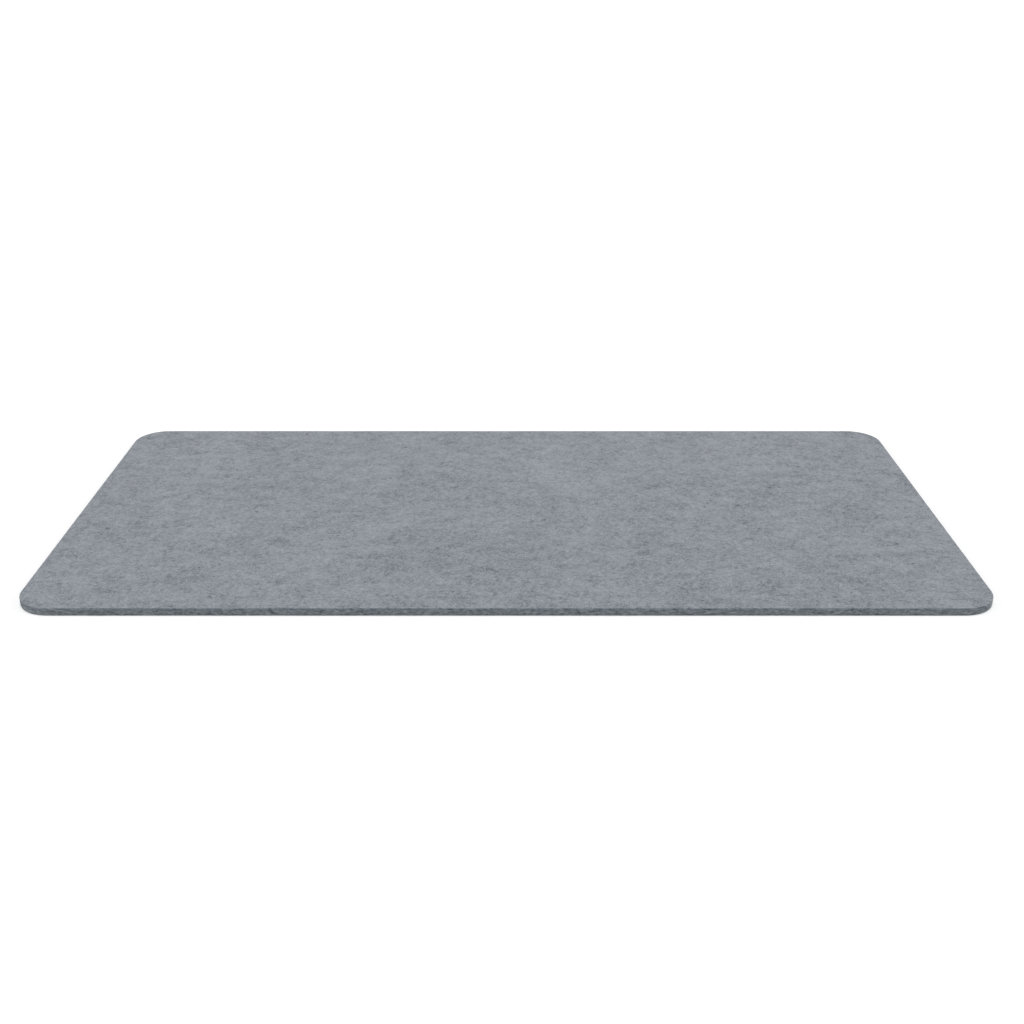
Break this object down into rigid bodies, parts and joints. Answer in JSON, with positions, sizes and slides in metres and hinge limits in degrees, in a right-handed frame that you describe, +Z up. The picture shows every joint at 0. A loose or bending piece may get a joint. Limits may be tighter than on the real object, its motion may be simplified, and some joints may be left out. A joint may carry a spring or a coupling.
{
  "type": "desk mat",
  "caption": "Flat rectangular felt desk mat with round corners, laid under keyboard, mouse and papers; low non-slip pads under it hold it on the desk.",
  "frame": {"origin": "on the desk surface, under the centre of the mat", "axes": "+X along the long side, to the right of the person at the desk; +Y away from that person; +Z up out of the face felt"},
  "size_m": [0.8, 0.4, 0.0068],
  "materials": {
    "felt": "matte",
    "bond_film": "satin",
    "grip_pad": "matte"
  },
  "bodies": {
    "root": {"face_felt": "felt", "bond_film": "bond_film", "base_felt": "felt", "grip_pad_front_1": "grip_pad", "grip_pad_front_2": "grip_pad", "grip_pad_front_3": "grip_pad", "grip_pad_front_4": "grip_pad", "grip_pad_middle_1": "grip_pad", "grip_pad_middle_2": "grip_pad", "grip_pad_middle_3": "grip_pad", "grip_pad_middle_4": "grip_pad", "grip_pad_back_1": "grip_pad", "grip_pad_back_2": "grip_pad", "grip_pad_back_3": "grip_pad", "grip_pad_back_4": "grip_pad"}
  },
  "joints": []
}
